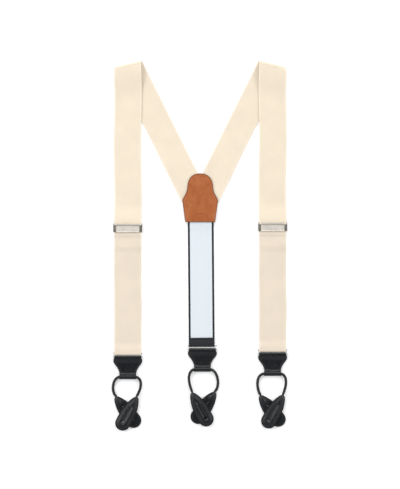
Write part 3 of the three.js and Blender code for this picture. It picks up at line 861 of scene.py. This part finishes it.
# Front run: straight down from the slanted fold to the adjuster. Its height eases down from
# the fold's top, over the back run, to the table, and up again into the adjuster. A slow sine
# sways it sideways.
def makeFrontRun(side):
    name, origin, inward, half, start = foldFrame(side)
    adjusterY = ends[name]["adjusterY"]
    w = acrossStops(strap["halfWidth"])[0]
    x = origin[0] - w
    firstY = origin[1] + (start - (x - origin[0]) * inward[0]) / inward[1]
    lastY = adjusterY - strap["adjusterHalf"] + strap["overlap"]
    rows = int((origin[1] - lastY) / strap["spacing"])
    t = np.linspace(0, 1, rows)[:, None]
    y = firstY + (lastY - firstY) * t
    away = (x - origin[0]) * inward[0] + (y - origin[1]) * inward[1]
    top = strap["lie"] + 2 * strap["bendRadius"]
    onBack, beyond = strap["onBack"], strap["afterCrossing"]
    z = ease(away, start + 4, strap["downBy"], top, onBack) + ease(away, *strap["leaves"], 0, beyond - onBack)
    riseFrom, riseTo = (-adjusterY - distance for distance in strap["rises"])
    z = z + ease(-y, riseFrom, riseTo, 0, strap["clamped"] - beyond)
    calm = ease(t, 0, 0.12, 0, 1) * ease(t, 0.86, 1, 1, 0)
    z = z + calm * strap["ripple"] * (1 + np.sin(y / 11 + side) * np.cos(x / 9))
    sway = calm * strap["sway"] * np.sin(y / 23 + 1.2 * side)
    middle = np.dstack([x + sway, y, z])
    piece = clothStrip(f"{name}_front_webbing", webbing, middle, w, origin[1] - y, strap)
    (origin[1] - 24) / 1000
    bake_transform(piece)
    flat = (38, float(origin[1] - lastY))
    finishCloth(flat, [f"{name}_front_strap"])


# Lower run: one long line down to the ring, round its bar, up behind, round the adjuster's
# rear bar and down to the sewn tail, carried across the strap's width.
def makeLowerRun(side):
    name = foldFrame(side)[0]
    end = ends[name]
    barY, top = end["barY"], end["adjusterY"] - strap["adjusterHalf"]
    clamped, flat = strap["clamped"], strap["onBack"]
    line = joinRuns(
        [(top + strap["overlap"], clamped), (top - 0.6, clamped)], step((top - 3, clamped), (top - 9, 3.6)),
        step((top - 19, 3.6), (top - 30, flat)), step((barY + 14, flat), (barY + 3, 4.2)),
        arc((barY - end["slack"], ring["z"]), strap["roundBar"], 90, 270),
        arc((top + 2, strap["rearBarZ"]), strap["roundRearBar"], -90, 90),
        step((top - 1.5, 3.3), (top - 8, flat)), [(top - 18, flat)],
    )
    fine, run = thinned(line, 0.45, 0.01)
    y, z = fine[:, :1], fine[:, 1:]
    w = acrossStops(strap["halfWidth"])[0]
    fromTop = (run - 12) / (top - barY - 12)
    isFront = (run < top - barY) & (run > 12)
    calm = (isFront * np.sin(np.clip(fromTop, 0, 1) * np.pi))[:, None]
    sway = calm * strap["sway"] * np.sin(y / 19)
    lift = calm * strap["ripple"] * (1 + np.sin(y / 10) * np.cos(w / 8))
    middle = np.stack(np.broadcast_arrays(end["x"] - w + sway, y, z + lift), -1)
    along = (strap["foldY"] - top + run)[:, None]
    # This run takes the darker webbing copy: painted shade.
    piece = clothStrip(f"{name}_lower_webbing", paintedShadeWebbing, middle, w, along, strap)
    (top - 22) / 1000
    (barY + 16) / 1000
    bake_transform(piece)
    finishCloth((38, float(run[-1])), [f"{name}_strap_loop"])


for side in (-1, 1):
    makeBackRun(side)
    makeShoulderTurn(side)
    makeFrontRun(side)
    makeLowerRun(side)
print("straps ready")


# topY is the end under the patch, and patchY the patch's lower edge. The strap leans a little.
elastic = dict(
    halfWidth=18.1, half=0.57, edgeRadius=0.5, x=1.0, lean=0.46, topY=39.4, patchY=33.3, turnUp=10.5,
    seams=(1.6, 4.4), seamHalf=16.8, seamZ=2.72, stitch=dict(pitch=2.4, length=1.7, thread=0.2),
)


# One line from under the patch down to the ring, under its bar, over it and up again, carried
# across the strap's width, then leaned by the cosine and sine of a small angle.
def makeElastic():
    barY = ends["back"]["barY"] - shift[1]
    underPatch, lie, over = strap["underPatch"], strap["lie"], strap["onBack"]
    line = joinRuns(
        [(elastic["topY"], underPatch)], step((elastic["patchY"], underPatch), (elastic["patchY"] - 16, lie)),
        arc((barY, ring["z"]), strap["roundBar"], -90, -270), step((barY + 2.5, 4.2), (barY + 8, over)),
        [(barY + elastic["turnUp"], over)],
    )
    fine, run = thinned(line, 0.4, 0.008)
    w = acrossStops(elastic["halfWidth"])[0]
    cosine, sine = math.cos(math.radians(elastic["lean"])), math.sin(math.radians(elastic["lean"]))

    def leaned(x, y, z):
        x, y = elastic["x"] + shift[0] + x * cosine - y * sine, shift[1] + x * sine + y * cosine
        return np.stack(np.broadcast_arrays(x, y, z), -1)

    y = fine[:, :1]
    calm = 0.1 * ease(y - barY, 20, 45, 0, 1) * ease(-y, -20, 10, 0, 1)
    middle = leaned(w, y, fine[:, 1:] + calm * (1 + np.sin(y / 13) * np.cos(w / 8)))
    piece = clothStrip("back_elastic_strap", elasticCloth, middle, w, run[:, None], elastic)
    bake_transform(piece)
    finishCloth((36.2, float(run[-1])), ["back_elastic"])
    for count, inset in enumerate(elastic["seams"]):
        across = np.array([-elastic["seamHalf"], elastic["seamHalf"]])
        line = leaned(across, barY + elastic["turnUp"] - inset, elastic["seamZ"])
        name = f"back_elastic_stitches_{count + 1}"
        stitches(name, blackThread, line, elastic["stitch"], "back_ring", "elastic")


makeElastic()
print("elastic ready")


rimSteps = np.array([0, 0.06, 0.16, 0.32, 0.55, 0.85, 1.2, 1.6, 2.0, 2.4, 2.9])
holeSteps = np.array([0, 0.05, 0.14, 0.28, 0.48, 0.75])
poleSteps = np.array([0.5])


# A flat piece of leather. Its grid runs from the rim in to a middle point or to an inner
# opening. The thickness follows a quarter circle at each rim.
def cutLeather(name, material, rim, inner, zLow, zHigh, edgeRadius, count, heightAt=None):
    toRim = rim - inner
    span = np.linalg.norm(toRim, axis=1, keepdims=True)
    atPole = np.allclose(inner, inner[0])
    inside = poleSteps if atPole else holeSteps
    between = np.linspace(0, 1, count)[1:-1]
    room = span - rimSteps[-1] - inside[-1]
    squeeze = np.clip(span / (rimSteps[-1] + inside[-1] + 0.6), 0, 1)
    fromInner = np.hstack([
        inside * squeeze, inside[-1] * squeeze + between * np.maximum(room, 0.6 * squeeze),
        span - rimSteps[::-1] * squeeze,
    ])
    plan = inner[:, None] + toRim[:, None] * (fromInner / span)[..., None]
    edge = span - fromInner
    half = (zHigh - zLow) / 2 * roundEdge(edge, edgeRadius)
    if not atPole:
        half = half * roundEdge(fromInner, edgeRadius * 0.6)
    middle = np.dstack([plan, np.full(plan.shape[:2], (zLow + zHigh) / 2)])
    lift = heightAt(plan, edge, fromInner) if heightAt else 0
    marks = dict(edge=edge, rim=fromInner)
    return shell(name, material, middle, upward, half, plan, lift, wrap=True, pole=atPole, marks=marks)


# The rim moved inwards along its own normals.
def insetRim(rim, distance):
    along = unit(np.roll(rim, -1, 0) - np.roll(rim, 1, 0))
    inward = np.column_stack([-along[:, 1], along[:, 0]])
    if ((rim.mean(0) - rim) * inward).sum() < 0:
        inward = -inward
    return rim + inward * distance


# A dent along a line: a bell curve of the distance from it, turned down.
def dent(distance, at, width, depth):
    return -depth * np.exp(-((distance - at) / width) ** 2)


patch = dict(
    topY=101.6, bottomY=33.3, cornerY=63.0, cornerX=25.0, bottomX=21.0, domeX=17.9, middleY=66.0,
    zLow=2.6, zHigh=4.05, edgeRadius=0.6, crown=0.35,
    stitchInset=2.3, stitch=dict(pitch=2.5, length=1.7, thread=0.26),
    liningInset=2.5, liningLow=0.02, liningHigh=1.05, liningEdge=0.4,
)


# The patch's outline, inset: its right half on Beziers from the middle of the bottom edge
# round to the top of the dome, and the mirror of that half.
def patchRim(inset=0.0):
    bottomX, cornerX, domeX = (patch[k] - inset for k in ("bottomX", "cornerX", "domeX"))
    top, bottom, cornerY = patch["topY"] - inset, patch["bottomY"] + inset, patch["cornerY"]
    side = (cornerX - 0.3, cornerY + 1.5)
    half = joinRuns(
        [(0, bottom), (bottomX - 2.4, bottom)],
        bezier(
            (bottomX - 2.4, bottom), (bottomX - 0.4, bottom),
            (bottomX + 0.1, bottom + 0.5), (bottomX + 0.25, bottom + 2.4), 8,
        ),
        bezier((cornerX - 0.3, cornerY - 2), (cornerX, cornerY - 0.6), (cornerX, cornerY + 0.4), side, 8),
        bezier(side, (cornerX - 1.3, 69), (domeX + 0.4, 73), (domeX, 83), 20),
        bezier((domeX, 83), (domeX - 0.5, 95), (domeX * 0.6, top), (0, top), 30),
    )
    half = evenly(half, 0.9)
    return np.vstack([half, (half * [-1, 1])[-2:0:-1]]) + shift


# The patch sits over the strap ends: a crown, a dip at the stitch line, and three small
# pressed lozenges near the bottom.
def makePatch():
    rim, liningRim = patchRim(), patchRim(patch["liningInset"])
    centre = np.array([0.0, patch["middleY"]]) + shift

    def heightAt(plan, edge, fromInner):
        across, away = np.abs(plan[..., 0] - shift[0]), np.abs(plan[..., 1] - (stamp["y"] + shift[1]))
        across = np.minimum(across, np.abs(across - stamp["pitch"]))
        lozenge = ease(across / stamp["halfWidth"] + away / stamp["halfHeight"], 0.6, 1.15, 1, 0)
        crown = patch["crown"] * ease(edge, 1.2, 9, 0, 1)
        return crown + dent(edge, patch["stitchInset"], 0.55, 0.2) - stamp["pressed"] * lozenge

    piece = cutLeather(
        "back_patch_leather", stampedLeather, rim, np.broadcast_to(centre, rim.shape),
        patch["zLow"], patch["zHigh"], patch["edgeRadius"], 70, heightAt,
    )
    settle(piece, "back", "patch_leather", "back_patch")
    line = insetRim(rim, patch["stitchInset"])
    line = np.column_stack([line, np.full(len(line), patch["zHigh"] - 0.1)])
    line = np.vstack([line, line[:1]])
    stitches("back_patch_stitches", tanThread, line, patch["stitch"], "back", "patch_leather")
    lining = cutLeather(
        "back_patch_lining_leather", tanLeather, liningRim, np.broadcast_to(centre, liningRim.shape),
        patch["liningLow"], patch["liningHigh"], patch["liningEdge"], 30,
    )
    settle(lining, "back", "patch_leather", "back_patch_lining")


makePatch()
print("patch ready")


# Lengths along the ear are from its tip. The opening is a round eye with a slit back from it;
# the backing's is narrower. backing and face are the two layers' lower and upper heights.
ear = dict(
    roundRadius=10.7, length=41.5, eyeRadius=1.9, eyeBack=2.0, slitLength=21.0, slitHalf=0.32,
    backing=(0.02, 1.22), backingEyeRadius=1.35, backingSlitHalf=0.14, face=(1.26, 2.5), upperRise=2.8,
    upperCrown=1.5, lowerCrown=0.3, lowerTipCrown=1.0, overCord=1.15, wrinkle=0.07,
    edgeRadius=0.5, stitchInset=2.1, stitch=dict(pitch=2.3, length=1.5, thread=0.17),
)


# A walk round the ear's rim and one round its keyhole, matched point by point. The rim is an
# arc, a Bezier flank and a half circle; the hole goes along the slit and round the eye, and
# its walk waits at the slit's start while the rim goes up the flank.
def earGrid(eyeRadius, slitHalf):
    r, big, length = earTipRadius, ear["roundRadius"], ear["length"]
    rimLine = evenly(joinRuns(
        arc((r, 0), r, 180, 120, 10),
        bezier((r * 0.5, r * 0.866), (9.9, 8.1), (19, big), (31, big), 40),
        [(length, big)], arc((length, 0), big, 90, 0, 30),
    ), 0.8)
    eyeX = length - ear["eyeBack"]
    mouth = math.asin(slitHalf / eyeRadius)
    start = eyeX - ear["eyeRadius"] - ear["slitLength"]
    hole = joinRuns(
        [(start, 0), (start + 0.3, slitHalf)], [(eyeX - eyeRadius * math.cos(mouth), slitHalf)],
        arc((eyeX, 0), eyeRadius, 180 - math.degrees(mouth), 0, 26),
    )
    holeRun = lengthsAlong(hole)
    reach = lengthsAlong(rimLine) / lengthsAlong(rimLine)[-1]
    progress = np.interp(reach, [0, 0.22, 0.62, 1.0], [0.0, 0.04, 0.55, 1.0]) * holeRun[-1]
    holeLine = np.column_stack([np.interp(progress, holeRun, hole[:, k]) for k in range(2)])
    return [np.vstack([line, (line * [1, -1])[-2:0:-1]]) for line in (rimLine, holeLine)]


# Each ear is a backing and a face with a seam between their edges. The face is crowned, dips
# at its stitches and swells over the cord's end.
def makeEar(endName, which):
    place = ends[endName][which]
    body = f"{endName}_{which}_ear"
    isUpper = which == "upper"
    base = ear["upperRise"] if isUpper else 0.0
    along = earDirection(place["angle"])
    across = np.array([-along[1], along[0]])
    tip = np.array(place["tip"]) + shift

    def turned(points):
        return tip + points[..., :1] * along + points[..., 1:2] * across

    def heightAt(plan, edge, fromInner):
        x, y = (plan - tip) @ along, (plan - tip) @ across
        lower = ear["lowerCrown"] + ear["lowerTipCrown"] * ease(x, 5, 14, 1, 0)
        fullness = ear["upperCrown"] if isUpper else lower
        crown = fullness * ease(edge, 0.3, 8.5, 0, 1) * ease(fromInner, 0.2, 3.6, 0.35, 1)
        bulge = ear["overCord"] * np.exp(-(y / 2.3) ** 2) * ease(x, 0.2, 2.4, 0.35, 1) * ease(x, 4, 15, 1, 0)
        wrinkle = ear["wrinkle"] * np.sin(y * 2.1 + 0.5 * np.sin(x))
        wrinkle = wrinkle * ease(x, 2, 6, 0, 1) * ease(x, 12, 22, 1, 0)
        return crown + bulge * ease(edge, 0, 1.6, 0, 1) + dent(edge, ear["stitchInset"], 0.5, 0.24) + wrinkle

    rim, hole = earGrid(ear["eyeRadius"], ear["slitHalf"])
    backingHole = earGrid(ear["backingEyeRadius"], ear["backingSlitHalf"])[1]
    # The side ends' ears take the leather with the painted highlight round the buttonhole; the back's do not.
    material = blackLeather if endName == "back" else rimLitBlackLeather
    for layer, opening, lift in (("backing", backingHole, None), ("face", hole, heightAt)):
        low, high = ear[layer]
        piece = cutLeather(
            f"{body}_{layer}_leather", material, turned(rim), turned(opening),
            base + low, base + high, ear["edgeRadius"], 22, lift,
        )
        settle(piece, body, "black_leather", f"{body}_{layer}")
    # The stitches start beside the cord's end, go round the ear and stop on its other side.
    line = insetRim(rim, ear["stitchInset"])
    line = line[line[:, 0] > 4.5]
    line = line[np.arctan2(line[:, 1], line[:, 0] - 30).argsort()]
    line = line[(line[:, 0] > 12) | (np.abs(line[:, 1]) > 2.4)]
    opened = int(np.argmax(np.linalg.norm(line - np.roll(line, 1, 0), axis=1)))
    spots = turned(np.roll(line, -opened, 0))
    spots = np.column_stack([spots, np.full(len(spots), base + ear["face"][1])])
    stitches(f"{body}_stitches", blackThread, spots, ear["stitch"], body, "black_leather")


for endName in ends:
    for which in ("upper", "lower"):
        makeEar(endName, which)
print("ears ready")


# Each crease: how far down it is, its depth, its lean, its middle's X and its half length.
# sag bends the creases down in their middle, and the swell is a low roll between two of them.
tab = dict(
    length=33.0, leather=1.1, faceHalf=0.56, edgeRadius=0.5, onBacking=1.95, barRadius=1.75,
    tunnelRadius=2.75, tunnelZ=3.3, backingZ=0.56, backingHalf=0.53, backingEdge=0.45,
    creases=[
        (17.6, 0.34, 0.03, 1.5, 9), (22.6, 0.4, -0.02, 0, 13),
        (19.4, 0.2, 0.06, -3.5, 7), (14.2, 0.12, -0.05, 3, 9),
    ],
    puff=0.35, sag=1.9, sagHalf=12.0, creaseWidth=0.62, swell=0.3, swellAt=20.6, swellWidth=1.3,
    stitchInset=2.1, stitchFrom=5.6, stitchTo=24.5, stitch=dict(pitch=2.3, length=1.55, thread=0.18),
)


# Half the tab's width by distance below its top: straight, a rounded shoulder, a Bezier into
# the neck, and straight again.
def tabHalfWidth(drop):
    side = joinRuns(
        [(0, 18.7), (3.4, 19.1)], bezier((3.4, 19.1), (4.6, 19.9), (5.6, 20.3), (7.5, 20.3), 8),
        bezier((7.5, 20.3), (12, 20.3), (17, 11.9), (25.4, 11.7), 24), [(tab["length"], 12.1)],
    )
    return np.interp(drop, side[:, 0], side[:, 1])


# The face wraps the ring's bar at the top, lies over the backing and rolls round the cord at
# the bottom: a line of arcs and eases carried across, as wide as the outline there.
def makeTab(endName):
    end, body = ends[endName], f"{endName}_tab"
    barDrop = tab["barRadius"] + tab["leather"] / 2
    tabY = end["barY"] - ring["pitch"] + barDrop
    bar, tunnel = -barDrop, tab["tunnelRadius"] + tab["leather"] / 2 - tab["length"]
    line = joinRuns(
        [(bar - 3.2, ring["z"] - tab["barRadius"])], arc((bar, ring["z"]), tab["barRadius"], -90, 90),
        step((bar - 1, ring["z"] + tab["barRadius"]), (bar - 9, tab["onBacking"])),
        [(tunnel + 7.5, tab["onBacking"])], step((tunnel + 7.0, tab["onBacking"]), (tunnel + 3.6, 3.3), 6),
        arc((tunnel, tab["tunnelZ"]), tab["tunnelRadius"], 60, 270, 26), [(tunnel + 2.4, tab["leather"] / 2)],
    )
    fine = evenly(line, 0.42)
    run = lengthsAlong(fine)
    isFront = (run > 9) & (run < run[-1] - 9)
    drop = -fine[:, :1]
    width = tabHalfWidth(np.clip(drop, 0, tab["length"]))
    w = acrossStops(width[:, 0], 26, (0, 0.06, 0.16, 0.32, 0.55, 0.85, 1.2, 1.6, 2.1, 2.6))
    fromSide = width - np.abs(w)
    middle = np.stack(np.broadcast_arrays(end["x"] + w, tabY - drop, fine[:, 1:]), -1)
    puff = tab["puff"] * ease(fromSide, 1, 6, 0, 1) * ease(drop, 4, 9, 0, 1) * ease(drop, 17, 24, 1, 0)
    sag = drop - tab["sag"] * np.clip(1 - (w / tab["sagHalf"]) ** 2, 0, 1)
    crease = sum(
        dent(sag + lean * w, at, tab["creaseWidth"], deep) * ease(np.abs(w - middleX), reach - 4, reach, 1, 0)
        for at, deep, lean, middleX, reach in tab["creases"]
    )
    swell = tab["swell"] * np.exp(-((sag - tab["swellAt"]) / tab["swellWidth"]) ** 2)
    dimple = dent(fromSide, tab["stitchInset"], 0.55, 0.3)
    dimple = dimple * ease(drop, 3.0, 4.4, 0, 1) * ease(drop, 24, 26, 1, 0)
    dimple = dimple + dent(drop, 3.6, 0.5, 0.1) * ease(fromSide, 1.6, 2.4, 0, 1)
    piece = shell(
        f"{body}_face_leather", blackLeather, middle, gridNormals(middle, -upward),
        tab["faceHalf"] * roundEdge(fromSide, tab["edgeRadius"]),
        np.stack(np.broadcast_arrays(w, run[:, None]), -1),
        isFront[:, None] * (puff + crease + swell + dimple),
        marks=dict(edge=fromSide),
    )
    settle(piece, body, "black_leather", f"{body}_face")
    drops = np.linspace(-(bar - 3.5), -(tunnel + 2.7), 60)[:, None]
    width = tabHalfWidth(drops)
    w = acrossStops(width[:, 0], 18)
    fromSide = width - np.abs(w)
    middle = np.stack(np.broadcast_arrays(end["x"] + w, tabY - drops, tab["backingZ"]), -1)
    backing = shell(
        f"{body}_backing_leather", blackLeather, middle, upward,
        tab["backingHalf"] * roundEdge(fromSide, tab["backingEdge"]), middle[..., :2],
        marks=dict(edge=fromSide),
    )
    settle(backing, body, "black_leather", f"{body}_backing")
    # Stitches up one flank and down the other.
    drops = np.linspace(tab["stitchFrom"], tab["stitchTo"], 60)
    z = np.interp(drops, drop[isFront, 0], fine[isFront, 1]) + tab["faceHalf"]
    flank = np.column_stack([tabHalfWidth(drops) - tab["stitchInset"], tabY - drops, z])
    around = np.vstack([flank[::-1] * [-1, 1, 1], flank]) + [end["x"], 0, 0]
    stitches(f"{body}_stitches", blackThread, around, tab["stitch"], body, "black_leather")


for endName in ends:
    makeTab(endName)
print("tabs ready")


# A rounded rectangle of round wire: four straights and four quarter circles.
def makeRing(endName):
    end, r = ends[endName], ring["corner"]
    high, low = end["barY"] - r, end["barY"] - ring["pitch"] + r
    left, right = end["x"] - ring["halfWidth"] + r, end["x"] + ring["halfWidth"] - r
    corner = joinRuns(
        arc((right, high), r, 90, 0, 9), arc((right, low), r, 0, -90, 9),
        arc((left, low), r, -90, -180, 9), arc((left, high), r, 180, 90, 9),
    )
    path = evenly(np.vstack([corner, corner[:1]]), ring["spacing"])[:-1]
    path = np.column_stack([path, np.full(len(path), ring["z"])])
    piece = rod(f"{endName}_wire_ring", metal["brightWire"], path, ring["wire"], closed=True)
    settle(piece, f"{endName}_ring", "ring_metal", f"{endName}_ring")


for endName in ends:
    makeRing(endName)
print("rings ready")


adjuster = dict(
    inner=19.4, outer=20.3, base=19.6, halfHeight=5.9, flange=16.5, edge=0.28, lever=16.2,
    pinY=4.4, pinZ=7.1, knuckleRadius=1.4, rivetFrom=19, rivetPast=0.35, rivetRadius=0.62,
)


# Blocks for the frame and for the lever plate, and rods for the knuckle and the rivet, each
# thinner at its ends by a quarter circle.
def makeAdjuster(name):
    end = ends[name]
    place = np.array([end["x"], end["adjusterY"], 0])
    base, h, inner, outer = (adjuster[k] for k in ("base", "halfHeight", "inner", "outer"))
    flange, wide = adjuster["flange"], adjuster["lever"]

    def bar(x0, x1, y0, y1, z0, z1, radius=adjuster["edge"]):
        return block(place + [x0, y0, z0], place + [x1, y1, z1], radius)

    def onPin(across):
        return place + np.column_stack(np.broadcast_arrays(across, adjuster["pinY"], adjuster["pinZ"]))

    forms = [bar(-base, base, -1.2, h, 3.0, 3.9), bar(-base, base, -h, 2 - h, 1.5, 2.4)]
    for side in (-1, 1):
        for near, far, *rest in (
            (inner, outer, -h, h, 1.5, 6.6), (inner, outer, 3.2, h, 5.4, 8.4),
            (flange, outer - 0.1, -h, 2.9, 5.7, 6.6), (flange + 0.7, outer - 1.3, -3.6, 0.6, 6.3, 6.85, 0.25),
        ):
            forms.append(bar(*sorted((side * near, side * far)), *rest))
    # The frame's body takes the darker nickel: painted shade.
    body = assemble(f"{name}_adjuster_body", metal["paintedShadeNickel"], forms)
    settle(body, f"{name}_adjuster", "adjuster_metal", f"{name}_adjuster_frame")
    lever = assemble(f"{name}_adjuster_plate", metal["satinNickel"], [
        bar(-wide, wide, -5.7, 4.6, 5.7, 6.7, 0.32), bar(-wide, wide, -6.15, -4.9, 5.95, 7.15, 0.4),
        bar(-12.6, 12.6, -3.9, 1.9, 6.2, 7.05, 0.3),
    ])
    settle(lever, f"{name}_lever", "adjuster_metal", f"{name}_adjuster_lever")
    across = np.linspace(-wide, wide, 45)
    radius = adjuster["knuckleRadius"] * (0.8 + 0.2 * roundEdge(wide - np.abs(across), 0.4))
    # The knuckle takes the darker nickel: painted shade.
    knuckle = rod(f"{name}_adjuster_knuckle", metal["knuckleShadeNickel"], onPin(across), radius, 24)
    settle(knuckle, f"{name}_lever", "adjuster_metal")
    reach = outer + adjuster["rivetPast"]
    across = np.linspace(adjuster["rivetFrom"], reach, 12)
    across = np.concatenate([-across[::-1], across])
    radius = adjuster["rivetRadius"] * roundEdge(reach - np.abs(across) + 0.02, 0.5)
    pin = rod(f"{name}_adjuster_rivet", metal["satinNickel"], onPin(across), radius, 16)
    settle(pin, f"{name}_adjuster", "adjuster_metal", f"{name}_adjuster_pin")


for name in ("left", "right"):
    makeAdjuster(name)
print("adjusters ready")
